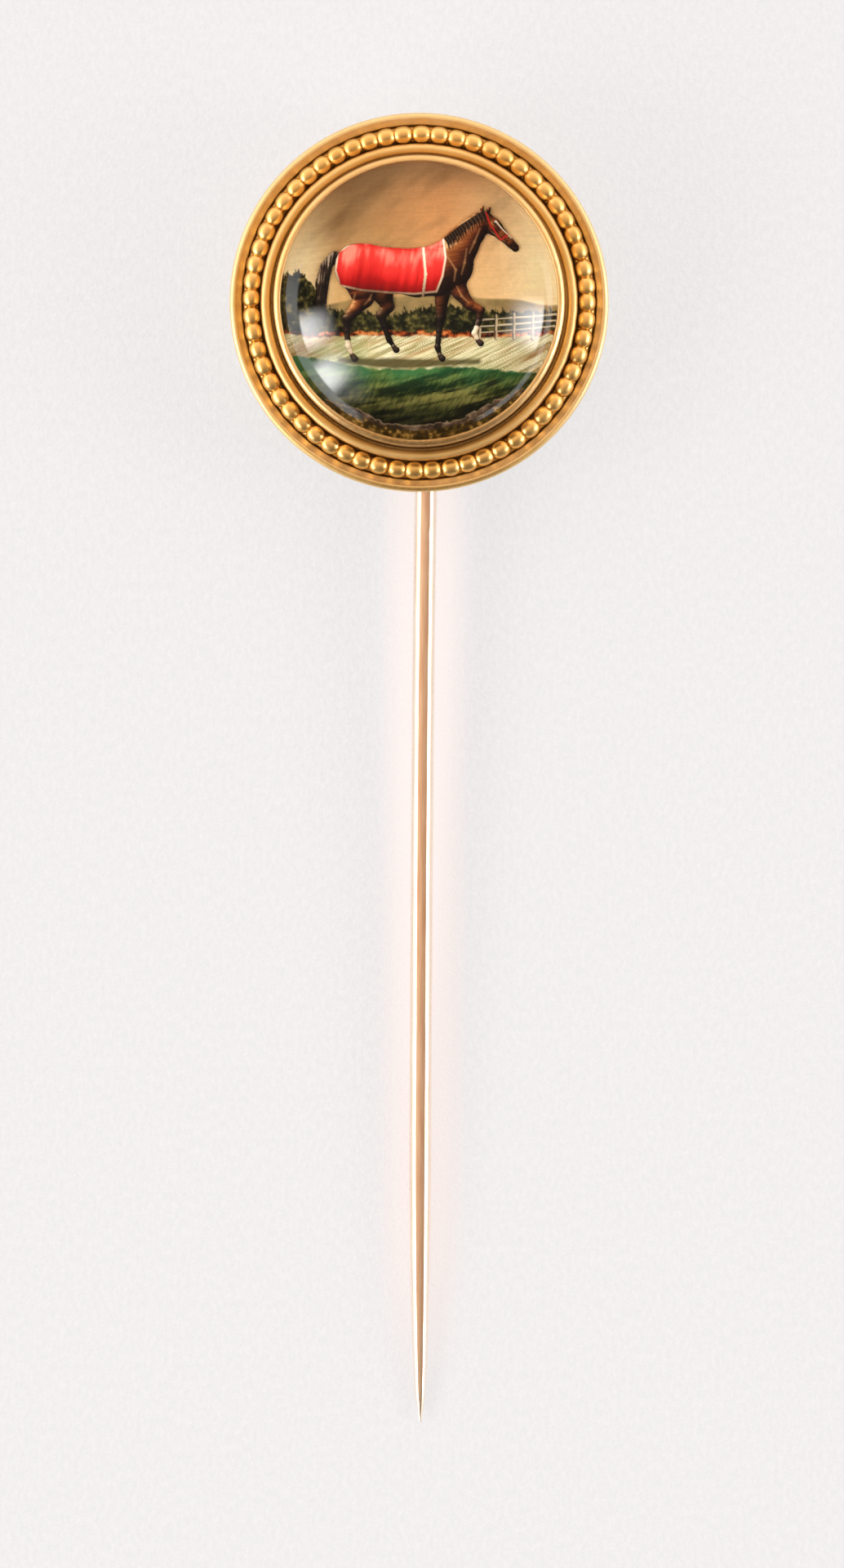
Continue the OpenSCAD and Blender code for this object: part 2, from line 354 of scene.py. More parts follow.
PATINA_AND_SHADE = (0.2, 0.088, 0.014)
MATT_GOLD = gold("matt_gold", (0.8, 0.56, 0.24), (0.72, 0.48, 0.18), (0.46, 0.58), 9000, 7e-6)
BEAD_GOLD = gold("bead_gold", (0.8, 0.53, 0.2), (0.73, 0.46, 0.15), (0.29, 0.39), 7000, 4e-6)
BRIGHT_GOLD = gold("bright_gold", (0.84, 0.58, 0.29), (0.76, 0.49, 0.2), (0.32, 0.44), 5000, 6e-6)
ROSE_GOLD = gold("rose_gold", (0.98, 0.75, 0.61), (0.86, 0.58, 0.43), (0.06, 0.14), 6000, 1.4e-6,
                 streaks=(1, 0.06, 1), pale=(1.0, 0.9, 0.79))


def crystal_material():
    """Clear quartz that lets the lamps reach the picture. Its back is wet with paint and bends nothing."""
    material, graph, place = new_material("crystal")
    glass = graph.out("BsdfGlass", IOR=1.544, Roughness=0.0, Color=(0.99, 0.99, 0.985))
    wet = graph.out("BsdfTransparent", Color=(0.99, 0.99, 0.985))
    clear = graph.out("BsdfTransparent", Color=(0.95, 0.95, 0.94))
    height = graph.add("SeparateXYZ", place).outputs["Z"]
    at_back = graph.math("LESS_THAN", height, float(CRYSTAL_LOW[2] + 0.02) * MM)
    in_shadow = graph.add("LightPath").outputs["Is Shadow Ray"]
    shader = graph.out("MixShader", in_shadow, graph.out("MixShader", at_back, glass, wet), clear)
    graph.add("OutputMaterial", Surface=shader)
    return material


def paint_material():
    """Oil paint: the painter's colours, with fine brush grain, under no gloss of its own."""
    material, graph, place = new_material("paint")
    colour = graph.add("VertexColor", layer_name="paint").outputs["Color"]
    grain = graph.ramp(graph.noise(place, 16000, 3, 0.6), 0.3, 0.7, 0.94, 1.06)
    shade = graph.out("VectorMath", colour, Scale=grain, operation="SCALE")
    graph.add("OutputMaterial", Surface=graph.out("BsdfPrincipled", Base_Color=shade, Roughness=0.55,
                                                  Specular_IOR_Level=0.1))
    return material


CRYSTAL = crystal_material()
PAINT = paint_material()


# Head

def inner_ring():
    """The plain matt wire inside the beads, slightly uneven as drawn wire is."""
    low_z, high_z = RING_LOW[2], RING_HIGH[2]
    wire_r = (high_z - low_z) / 2
    ring_r = (RING_HIGH[0] - RING_LOW[0]) / 2 - wire_r
    section = arc(ring_r, low_z + wire_r, wire_r * 0.995, 0, 360, 28)[:-1]

    def shake(angle, r, z):
        p = round_head(angle, z * 0)
        return r + noise_at(p, 3, 6) * 0.008, z + noise_at(p, 4, 9) * 0.006 - 0.006
    thing = turned("inner_wire", section, 480, shake)

    def cover(radius, z, x, y):
        # Patina and painted shade on the lower inner side, less at the top right; a painted pale sheen
        # lower outside and on the outer top
        low = clamp((low_z + 0.8 * wire_r - z) / (0.6 * wire_r))
        high = clamp((z - low_z - 1.3 * wire_r) / (0.4 * wire_r))
        outer = clamp((radius - ring_r) / (0.5 * wire_r)) * high
        return low * np.where(radius > ring_r, -0.5, 0.35 * (1 - 0.8 * towards_light(x, y))) - 0.1 * outer
    dressed(thing, MATT_GOLD, "inner_ring", cover)


def ball(level):
    """Points and faces of a round ball of radius 1 made from a subdivided cube."""
    n = 2 ** level
    line = np.tan((np.arange(n + 1) / n * 2 - 1) * pi / 4)
    u, v = (grid.ravel() for grid in np.meshgrid(line, line, indexing="ij"))
    patches = []
    faces = []
    for axis in range(3):
        for side in (-1, 1):
            faces.append(grid_faces(n + 1, n + 1, False, False, start=len(patches) * len(u)))
            patches.append(np.roll(np.stack([side + 0 * u, u * side, v], -1), axis, axis=1))
    points = np.concatenate(patches)
    points /= np.linalg.norm(points, axis=1)[:, None]
    # Points that the cube's sides share become one; adding 0 turns -0.0 into 0.0
    _, kept, index = np.unique(np.round(points, 5) + 0.0, axis=0, return_index=True, return_inverse=True)
    return points[kept], index.ravel()[np.concatenate(faces)]


def fuller(unit):
    """Fills out a ball towards its neighbours along y, so that beads on one wire meet in a broad neck."""
    across = np.hypot(unit[:, 0], unit[:, 2])
    full = (across ** 2 + np.abs(unit[:, 1]) ** 2.35) ** -0.5
    return unit * np.minimum(full, 1.04)[:, None]


def bead_ring():
    """Sixty beads in one body, each a little out of round and line, with the wire that joins them."""
    bead_r = (BEAD_HIGH[2] - BEAD_LOW[2]) / 2
    ring_r = (BEAD_HIGH[0] - BEAD_LOW[0]) / 2 - bead_r
    centre_z = BEAD_LOW[2] + bead_r
    unit, quads = ball(4)
    unit = fuller(unit)
    pitch = 2 * pi / BEAD_COUNT
    rng = np.random.default_rng(11)
    points = []
    faces = []
    patina_and_shade = []
    for k in range(BEAD_COUNT):
        even = BEAD_PHASE + k * pitch
        angle = even + sum(far * cos(times * even - most) for times, far, most in BEAD_DRIFT)
        angle += rng.normal(0, 0.025) * pitch
        size = np.array([mean + rng.normal(0, spread) for mean, spread in BEAD_SIZES])
        p = unit * size * bead_r
        p = p * (1 + 0.01 * noise_at(unit, k, 2.2)[:, None])
        far = ring_r + rng.normal(0, 0.006)
        c, s = cos(angle), sin(angle)
        p = p @ ((c, s, 0), (-s, c, 0), (0, 0, 1)) + (HEAD_X + far * c, HEAD_Y + far * s, centre_z)
        faces.append(quads + len(points) * len(unit))
        points.append(p)
        # Patina and painted shade in the necks where beads meet and under each bead, less on the beads at
        # the bottom
        neck = clamp((np.abs(unit[:, 1]) - 0.8) / 0.14)
        low = clamp((-0.05 - unit[:, 2]) / 0.5)
        patina_and_shade.append(np.maximum(0.3 * neck, 0.45 * (1 - 0.6 * clamp(0.4 - s)) * low))
    count = len(points) * len(unit)
    around = np.radians(np.arange(0, 360, 24))
    core_r, core_z = ring_r + 0.43 * np.cos(around), centre_z - 0.2 + 0.24 * np.sin(around)
    steps = 240
    turn = np.arange(steps) * 2 * pi / steps
    points.append(swept(core_r, core_z, turn[:, None]))
    # The joining wire's outer half gets patina and painted shade
    patina_and_shade.append(np.tile(0.4 * (core_r > ring_r), steps))
    faces.append(grid_faces(steps, len(around), start=count))
    thing = mesh_object("gold_beads", np.concatenate(points), np.concatenate(faces))
    dressed(thing, BEAD_GOLD, "beaded_ring", lambda *_: np.concatenate(patina_and_shade))


def crystal_dome():
    """The domed cabochon with its flat back, smooth all over."""
    r = (CRYSTAL_HIGH[0] - CRYSTAL_LOW[0]) / 2
    top = CRYSTAL_HIGH[2]
    back = CRYSTAL_LOW[2]
    side_h = top - DOME_RISE - back
    dome_r = (r * r + DOME_RISE * DOME_RISE) / (2 * DOME_RISE)
    angles = np.linspace(0, asin(r / dome_r), 49)[1:]
    section = [(dome_r * sin(a), top - dome_r * (1 - cos(a))) for a in angles]
    section += [(r, back + side_h * share - 0.02) for share in (1, 0.7, 0.4, 0.1)]
    section += [(r, back + 0.03), (r - 0.03, back)]
    section += [(r * share, back) for share in (0.97, 0.75, 0.5, 0.25)]
    thing = turned("crystal_dome", section, 192, capped=True)
    dressed(thing, CRYSTAL, "crystal")


def head_frame():
    """Side wall, back plate, channel and rim in one turning, with the stem's slot cut through the wall."""
    edge_ring = HEAD_R - EDGE_R
    edge_z = HEAD_HIGH[2] - EDGE_R
    soft = 0.05
    outline = [(INSIDE_R, PLATE_TOP_Z), (INSIDE_R, STEP_Z - soft)]
    outline += arc(INSIDE_R + soft, STEP_Z - soft, soft, 180, 90, 4)
    outline += [(STEP_R - soft, STEP_Z)] + arc(STEP_R - soft, STEP_Z - soft, soft, 90, 0, 4)
    outline += [(STEP_R, CHANNEL_Z), (CHANNEL_R, CHANNEL_Z)]
    outline += arc(CHANNEL_R + BEVEL_ROUND, HEAD_HIGH[2] - BEVEL_H - BEVEL_ROUND, BEVEL_ROUND, 180, 115, 6)
    outline += [(edge_ring - 0.3 * EDGE_R, HEAD_HIGH[2] - 0.04)]
    outline += arc(edge_ring, edge_z, EDGE_R, 105, -60, 18)
    outline += [(WALL_R, edge_z - 1.4 * EDGE_R)]
    outline += arc(WALL_R - soft, soft, soft, 0, -90, 4)
    outline += arc(WALL_R - WALL_T + soft, soft, soft, -90, -180, 4)
    outline += [(WALL_R - WALL_T, PLATE_Z)]
    spokes = [0.2, 0.4, 0.6, 0.8]
    inward = [(INSIDE_R * share, PLATE_TOP_Z) for share in spokes]
    outward = [((WALL_R - WALL_T) * share, PLATE_Z) for share in reversed(spokes)]
    section = inward + along(outline, 0.3, closed=False) + outward

    def shake(angle, r, z):
        p = round_head(angle, z * 0.4)
        rim = clamp((z - CHANNEL_Z) / (HEAD_HIGH[2] - CHANNEL_Z))
        out = clamp((r - WALL_R) / (HEAD_R - WALL_R))
        drawn_in = out * (0.034 + 0.006 * noise_at(p, 21, 5))
        return r - drawn_in, z - rim * 0.005 * (1 + noise_at(p, 22, 8))
    thing = turned("gold_frame", section, 480, shake, capped=True)
    slot_x, slot_z = stem_at(HEAD_Y - WALL_R)
    arch = [(slot_x + x, z) for x, z in arc(0, slot_z, SLOT_R, 0, 180, 16)]
    arch = [(slot_x + SLOT_R, -1)] + arch + [(slot_x - SLOT_R, -1)]
    near_y, far_y = HEAD_Y - HEAD_R - 1, HEAD_Y - WALL_R + 2 * WALL_T
    count = len(arch)
    points = [(x, y, z) for y in (near_y, far_y) for x, z in arch]
    faces = [*grid_faces(2, count, closed_rows=False), range(count), range(count, 2 * count)]
    cut(thing, mesh_object("slot_cutter", points, faces, smooth=False))

    def cover(radius, z, x, y):
        # Patina and painted shade on the step and in the channel, less at the bottom and the top right
        floor = (INSIDE_R - 0.05, INSIDE_R, STEP_R - 0.02, STEP_R, CHANNEL_R - 0.1, CHANNEL_R + 0.1)
        # The step's outer edge gets a painted pale sheen
        channel = np.interp(radius, floor, (0, 0.66, 0.66, -0.4, 0.4, 0.05))
        under = clamp((HEAD_HIGH[2] - 0.06 - z) / 0.16) * (z > CHANNEL_Z - 0.02)
        down = clamp(-2 * y - 1)
        lower = np.where(radius > STEP_R, clamp(0.4 - y), np.maximum(down, towards_light(x, y)))
        left = clamp(-4 * x - 3)
        # The flat bevel gets a painted pale sheen, most at the bottom and none at the left
        flat = (CHANNEL_R + 0.04, CHANNEL_R + 0.1, edge_ring - 0.05, edge_ring)
        bevel = np.interp(radius, flat, (0, 1, 1, 0)) * (1 - left) * (0.36 + 0.14 * down)
        past = radius - edge_ring
        outer = clamp((past - 0.1) / 0.08)
        crest = clamp((past + 0.1) / 0.08) * (1 - outer)
        # The outer edge gets a painted pale sheen; at the bottom the crest gets painted shade instead
        worn = 0.3 * clamp((past + 0.02) / 0.1) * (1 - down * (1 - outer)) - 0.5 * crest * down
        return channel * under * (1 - 0.6 * lower) - (worn + bevel) * (z > CHANNEL_Z)
    dressed(thing, MATT_GOLD, "head_frame", cover)


def cut(thing, cutter):
    """Takes the cutter's shape out of a piece, and deletes the cutter."""
    modifier = thing.modifiers.new("cut", "BOOLEAN")
    modifier.object = cutter
    modifier.operation = "DIFFERENCE"
    modifier.solver = "EXACT"
    bpy.context.view_layer.update()
    result = bpy.data.meshes.new_from_object(thing.evaluated_get(bpy.context.evaluated_depsgraph_get()))
    thing.modifiers.clear()
    thing.data = result
    bpy.data.objects.remove(cutter)


def bezel():
    """Tall collet with a lip that was rubbed over the crystal by hand, so its edges wander."""
    outer = (BEZEL_HIGH[0] - BEZEL_LOW[0]) / 2
    low, high = BEZEL_LOW[2], BEZEL_HIGH[2]
    flared = outer + LIP_FLARE
    section = [(BEARING_R, low), (outer, low), (outer, STEP_Z), (flared, STEP_Z + 0.2)]
    rounding = arc(0, 0, LIP_W, 0, 90, 10)
    section += [(flared - LIP_W + x, high - LIP_DROP + z * LIP_DROP / LIP_W) for x, z in rounding]
    section += [(LIP_R + x, high - z) for x, z in ((0.03, 0.02), (0.005, 0.05), (0, 0.12))]
    section += [(LIP_R, LIP_UNDER_Z + 0.08), (BEZEL_INSIDE_R, LIP_UNDER_Z)]
    section += [(BEZEL_INSIDE_R, BEARING_Z), (BEARING_R, BEARING_Z)]
    section = along(section, 0.25)

    def shake(angle, r, z):
        p = round_head(angle, z * 0)
        tool = round_head(angle, r * 3)
        top = clamp((z - (high - 0.3)) / 0.3)
        inner = clamp((outer - 0.12 - r) / 0.25) * top
        nick = np.maximum(noise_at(p, 33, 34) - 0.3, 0)
        wander = 0.014 * noise_at(p, 31, 7) + 0.006 * noise_at(p, 32, 26) - 0.008
        dips = 0.005 * (2 + noise_at(tool, 34, 16) + noise_at(tool, 35, 42))
        waves = 0.003 * top * (1 + noise_at(p, 36, 9))
        return r - inner * (wander - 0.06 * nick) - (1 - inner) * waves, z - top * dips
    thing = turned("gold_bezel", section, 720, shake)

    def cover(radius, z, x, y):
        # Patina and painted shade on the outer wall below the lip, most at the sides, less at the top right
        outside = clamp((radius - outer + 0.05) / 0.03)
        outside = outside * clamp(high - 0.5 - z) * (1 - 0.7 * towards_light(x, y))
        # Patina and painted shade on the lip's inner face
        inside = clamp((LIP_R + 0.03 - radius) / 0.03) * (z > LIP_UNDER_Z - 0.05)
        # Painted shade over the bezel at the bottom, less at the sides, and lightly at the top
        shade_below = 0.5 * clamp(-5 * y - 2.25)
        beside = clamp(np.abs(x) / 0.6 - 0.4)
        above = 0.15 * clamp(5 * y - 2.25)
        return above + np.max([(0.2 + 0.3 * beside) * outside, 0.4 * inside, shade_below - 0.2 * beside], axis=0)
    dressed(thing, BRIGHT_GOLD, "bezel", cover)


def stem():
    """Round rod with a long convex point, a thinner tang through the wall and a solder foot."""
    line = STEM_TOP - POINT_END
    length = np.linalg.norm(line)
    ahead = line / length
    side = np.cross(ahead, (0, 0, 1))
    side /= np.linalg.norm(side)
    up = np.cross(side, ahead)
    shoulder = (HEAD_Y - WALL_R - 0.06 - POINT_END[1]) / ahead[1]
    point, thick = np.array(POINT_SHAPE).T * [[POINT_LENGTH], [STEM_R]]
    places = list(POINT_LENGTH * np.linspace(0, 1, 61) ** 1.5)
    places += list(np.arange(POINT_LENGTH + 0.25, shoulder - 0.1, 0.25))
    sizes = np.minimum(smooth_through(np.array(places), point, thick), STEM_R).tolist()
    places += [shoulder + far for far in (-0.04, -0.01, 0, 0.001)] + [length + 0.5 * FOOT_R]
    sizes += [STEM_R, STEM_R - 0.01, STEM_R - 0.04, TANG_R, TANG_R]
    places, sizes = np.array(places), np.array(sizes)
    sides = 64
    angle = np.arange(sides) * 2 * pi / sides
    around = np.stack([np.cos(angle), np.sin(angle)], -1)
    ring = np.stack(np.broadcast_arrays(places[:, None] * 0.15, around[:, 0], around[:, 1]), -1)
    worn = 1 - 0.004 * (1 + noise_at(ring, 41, 3)) / 2
    for pit_x, pit_y, pit_r, pit_depth in PITS:
        across = sizes[:, None] * around[None, :, 0]
        along_y = (POINT_END[1] + places * ahead[1] - HEAD_Y)[:, None]
        near = np.hypot(across - pit_x, (along_y - pit_y) * 0.7) / pit_r
        worn = worn - pit_depth / STEM_R * np.exp(-near ** 2) * (around[None, :, 1] > 0)
    bow = 1 - np.abs(2 * clamp(places / shoulder) - 1) ** 3
    centre = POINT_END + places[:, None] * ahead - STEM_BOW * bow[:, None] * side
    radius = (sizes[:, None] * worn)[..., None]
    points = centre[:, None, :] + radius * (around[None, :, :1] * side + around[None, :, 1:] * up)
    points = points.reshape(-1, 3)
    faces = grid_faces(len(places), sides, closed_rows=False).tolist()
    count = len(points)
    faces += fan(count, np.arange(sides)) + fan(count + 1, np.arange(count - sides, count))
    points = np.concatenate([points, [POINT_END - ahead * 0.02, centre[-1]]])
    rod = mesh_object("rose_gold_stem", points, faces)
    # A painted pale sheen along the stem's sides stands in for the bright paper that they mirror
    _, middle_z = stem_at(points[:, 1])
    rise = (points[:, 2] - middle_z) / STEM_R
    dressed(rod, ROSE_GOLD, "stem", lambda *_: -clamp(1.3 - 2.6 * np.abs(rise - 0.25)))
    top = PLATE_Z - 0.03
    low = top - FOOT_H
    soft = 0.18
    pad = [(FOOT_R * share, low) for share in (0.3, 0.6)] + arc(FOOT_R - soft, low + soft, soft, -90, 0, 8)
    pad += [(FOOT_R, top)] + [(FOOT_R * share, top) for share in (0.66, 0.33)]

    def puddled(angle, r, z):
        p = round_head(angle, z * 0.3)
        share = r / FOOT_R
        return r * (1 - 0.04 * share * (1 + noise_at(p, 51, 1.6)) / 2), z + 0.02 * (z < top - 0.1)
    foot = turned("solder_foot", pad, 96, puddled, capped=True)
    foot.data.transform(Matrix.Translation((STEM_TOP[0] * MM, 0, 0)))
    dressed(foot, ROSE_GOLD, "stem")


def smooth_through(place, knots, values):
    """A smooth curve through knots with rising values, by monotone cubic pieces, and level after them."""
    width = np.diff(knots)
    rise = np.diff(values)
    steep = rise / width
    slope = np.concatenate([steep[:1], 2 * steep[:-1] * steep[1:] / (steep[:-1] + steep[1:]), [0]])
    i = np.clip(np.searchsorted(knots, place, side="right") - 1, 0, len(width) - 1)
    t = clamp((place - knots[i]) / width[i])
    bend = width[i] * t * (1 - t) * ((1 - t) * slope[i] - t * slope[i + 1])
    return values[i] + rise[i] * t * t * (3 - 2 * t) + bend


# The painted picture. Its functions take millimetres from the head's centre, x to the right and y up.

def noise_over(x, y, seed, scale):
    return noise_at(np.stack([x, y], -1), seed, scale)


def cloudy(x, y, seed, scale, octaves=4):
    """Noise of several sizes between 0 and 1."""
    total = sum(noise_over(x, y, seed + i, scale * 2 ** i) / 2 ** i for i in range(octaves))
    return 0.5 + 0.5 * total / (2 - 2 ** (1 - octaves))


def brushed(x, y, seed, angle, length, width, octaves=3):
    """Noise drawn out along an angle in degrees, like the marks of a brush's hairs."""
    c, s = cos(radians(angle)), sin(radians(angle))
    return cloudy((x * c + y * s) / length, (y * c - x * s) / width, seed, 1.0, octaves)


def smooth_max(a, b, k):
    """The larger of two heights, with the crease between them rounded over a width k."""
    h = clamp(0.5 + 0.5 * (a - b) / k)
    return b * (1 - h) + a * h + k * h * (1 - h)


def nearest(x, y, p, q):
    """Share of the way from p to q at which the line between them is nearest, and how far off it is."""
    dx, dy = q[0] - p[0], q[1] - p[1]
    t = clamp(((x - p[0]) * dx + (y - p[1]) * dy) / (dx * dx + dy * dy))
    return t, np.hypot(x - p[0] - t * dx, y - p[1] - t * dy)


def rounded(x, y, chains, blend=0.08, grow=0.0):
    """Round height over chains of joints (x, y, half-width), and minus the distance outside them."""
    out = None
    for chain in chains:
        one = None
        for p, q in zip(chain, chain[1:]):
            t, d = nearest(x, y, p, q)
            w = p[2] + (q[2] - p[2]) * t + grow
            h = np.where(d < w, np.sqrt(np.maximum(w * w - d * d, 0)), w - d)
            one = h if one is None else smooth_max(one, h, blend)
        out = one if out is None else smooth_max(out, one, 2 * blend)
    return out


def polygon_depth(x, y, outline):
    """Distance to a closed outline, positive inside it."""
    d = np.full_like(x, 1e9)
    odd = np.zeros(x.shape, bool)
    for (x0, y0), (x1, y1) in zip(outline, outline[1:] + outline[:1]):
        d = np.minimum(d, nearest(x, y, (x0, y0), (x1, y1))[1])
        if y0 != y1:
            odd ^= ((y0 > y) != (y1 > y)) & (x < (x1 - x0) * (y - y0) / (y1 - y0) + x0)
    return np.where(odd, d, -d)


def tones(value, *stops):
    """A colour for each value, between stops of (value, red, green, blue)."""
    at = [stop[0] for stop in stops]
    return np.stack([np.interp(value, at, [stop[i] for stop in stops]) for i in (1, 2, 3)], -1)


def over(colour, *layers):
    """Paints laid over a colour, each followed by how thickly it covers."""
    for paint, cover in zip(layers[::2], layers[1::2]):
        colour = colour + (np.asarray(paint) - colour) * clamp(cover)[..., None]
    return colour


def edge(depth, soft=0.03):
    """How far paint covers near its border: none outside, all from a soft width inside."""
    return clamp(depth / soft + 0.5)


# Scale and place of the horse in the picture, and its limbs: joints of (x, y, half-width)
HORSE_SCALE = 1.1
HORSE_SHIFT = (-0.1, -0.1)
TORSO = [(-2.5, 1.5, 0.98), (-1.8, 1.42, 0.9), (-0.9, 1.32, 0.9), (0.0, 1.22, 0.97), (0.8, 1.28, 0.99),
         (1.5, 1.52, 0.86)]
BACK = [(-2.75, 1.9, 0.52), (-2.1, 2.08, 0.36), (-1.3, 1.98, 0.26), (-0.3, 1.85, 0.34), (0.6, 2.06, 0.28),
        (1.25, 2.38, 0.3)]
NECK = [(1.42, 1.8, 0.94), (1.88, 2.45, 0.74), (2.36, 3.02, 0.55), (2.86, 3.52, 0.41)]
CREST = [(1.3, 2.52, 0.26), (1.88, 3.16, 0.2), (2.55, 3.72, 0.18)]
HEAD = [(3.0, 3.6, 0.36), (3.32, 3.3, 0.39), (3.66, 2.98, 0.28), (4.04, 2.62, 0.215), (4.26, 2.42, 0.2)]
NEAR_EAR = [(2.84, 3.9, 0.1), (2.82, 4.12, 0.085), (2.9, 4.32, 0.015)]
FAR_EAR = [(3.08, 3.88, 0.1), (3.12, 4.1, 0.085), (3.24, 4.26, 0.015)]
NEAR_FORE = [(1.5, 1.1, 0.52), (1.8, 0.44, 0.34), (2.2, -0.06, 0.235), (2.66, -0.3, 0.185),
             (2.6, -0.78, 0.125), (2.42, -1.26, 0.125), (2.54, -1.5, 0.105)]
FAR_FORE = [(1.12, 0.8, 0.42), (1.02, 0.05, 0.27), (0.98, -0.62, 0.2), (0.93, -1.15, 0.125),
            (0.86, -1.84, 0.13), (0.94, -2.1, 0.105)]
NEAR_HIND = [(-2.45, 1.25, 0.86), (-2.28, 0.62, 0.62), (-2.22, 0.22, 0.43), (-2.6, -0.26, 0.28),
             (-2.96, -0.66, 0.215), (-2.97, -1.16, 0.145), (-2.93, -1.84, 0.14), (-2.8, -2.12, 0.11)]
FAR_HIND = [(-1.95, 0.95, 0.6), (-1.4, 0.34, 0.42), (-1.2, -0.14, 0.27), (-1.5, -0.52, 0.205),
            (-1.36, -0.96, 0.135), (-1.16, -1.52, 0.13), (-1.0, -1.76, 0.105)]
NEAR_HOOVES = [[(2.58, -1.58, 0.12), (2.7, -1.7, 0.15)], [(-2.76, -2.22, 0.125), (-2.66, -2.36, 0.17)]]
FAR_HOOVES = [[(0.97, -2.2, 0.12), (1.06, -2.32, 0.16)], [(-0.96, -1.84, 0.12), (-0.86, -1.96, 0.15)]]
TAIL = [(-3.26, 2.02, 0.14), (-3.6, 2.0, 0.22), (-3.92, 1.55, 0.28), (-4.06, 0.85, 0.31),
        (-4.12, 0.15, 0.27), (-4.06, -0.5, 0.16), (-3.98, -0.95, 0.03)]
NEAR_BODY = [TORSO, BACK, NECK, CREST, HEAD, NEAR_FORE, NEAR_HIND]
# Cut of the red rug, whose top edge lies over the back
RUG = [(-3.42, 2.2), (-2.6, 2.75), (-1.4, 2.6), (0.0, 2.6), (0.75, 2.75), (1.12, 2.9), (1.24, 1.9),
       (1.1, 1.1), (0.84, 0.44), (-0.1, 0.34), (-1.2, 0.4), (-2.3, 0.5), (-3.3, 0.72), (-3.52, 1.4)]


def hedge_top(x):
    """Height of the hedge's top line, with a round tree at the left."""
    tree = clamp(1 - ((x + 6.2) / 1.6) ** 2) ** 0.6
    return np.maximum(-0.42 + 0.16 * np.sin(x * 0.9 + 0.4), 1.9 * tree - 0.5)


def bank_top(x):
    return -1.42 + 0.07 * np.sin(x * 0.7 + 2)


def meadow_top(x):
    return -3.12 - 0.05 * x + 0.12 * np.sin(x * 0.8)


def paint_sky(x, y):
    """Soft golden evening sky with smudged cloud, pale at both sides."""
    sky = tones(y, (-1, 202, 160, 104), (0.8, 198, 156, 100), (2.6, 190, 146, 94), (4.4, 176, 134, 88),
                (6.4, 158, 122, 86))
    smoke = brushed(x, y, 23, 40, 2.6, 0.8, 3) - 0.5
    sky = over(
        sky,
        (226, 188, 132), 1.6 * (cloudy(x * 0.7 + 3, y * 1.1, 5, 0.3, 3) - 0.46),
        (136, 104, 66), 0.25 * edge(3.8 - np.hypot(x + 2.4, (y - 4.4) * 1.6), 3.4),
        (214, 152, 98), 0.8 * edge(3.0 - np.hypot(x - 1.8, (y - 4.0) * 1.2), 3.0),
        (126, 98, 70), 1.2 * (cloudy(x, y, 14, 0.26, 3) - 0.52) * edge(y - 2.4, 3.0),
        (236, 198, 146), 0.85 * edge(x - 2.6, 2.6) * edge(5.8 - y, 1.8),
        (255, 234, 184), clamp((np.abs(x) - 3.7) / 1.7) * clamp(1.2 - np.abs(y - 1.4) / 4.2),
        (118, 88, 58), 1.5 * smoke * edge(4.6 - np.abs(x + 0.4), 2.4) * edge(y - 1.6, 2.6)
    )
    grain = 0.09 * (brushed(x, y, 21, 4, 1.3, 0.05) - 0.5) + 0.06 * (cloudy(x, y, 25, 7.0, 2) - 0.5)
    return sky * (1 + grain)[..., None]


def paint_hedge(x, y, land):
    """Far hills, and before them a dark hedge with twigs and a round tree."""
    hill = 0.12 + 0.24 * np.sin(x * 0.55 + 1.2) + 0.08 * np.sin(x * 1.7)
    far = tones(cloudy(x, y, 33, 2.0), (0.3, 136, 116, 76), (0.7, 172, 144, 92))
    land = over(land, far, edge(hill - y, 0.1))
    tuft = 0.46 * (cloudy(x, y * 0.35, 43, 5.0, 4) - 0.5) + 0.12 * noise_over(x * 22, y * 4, 45, 1.0)
    leaf = 0.6 * cloudy(x, y, 47, 3.4, 4) + 0.4 * cloudy(x, y, 49, 9.0, 2)
    leaves = tones(leaf, (0.3, 12, 12, 8), (0.44, 30, 31, 17), (0.54, 54, 54, 27), (0.64, 92, 84, 42),
                   (0.76, 140, 124, 66))
    return over(land, leaves, edge(hedge_top(x) + tuft - y, 0.05))


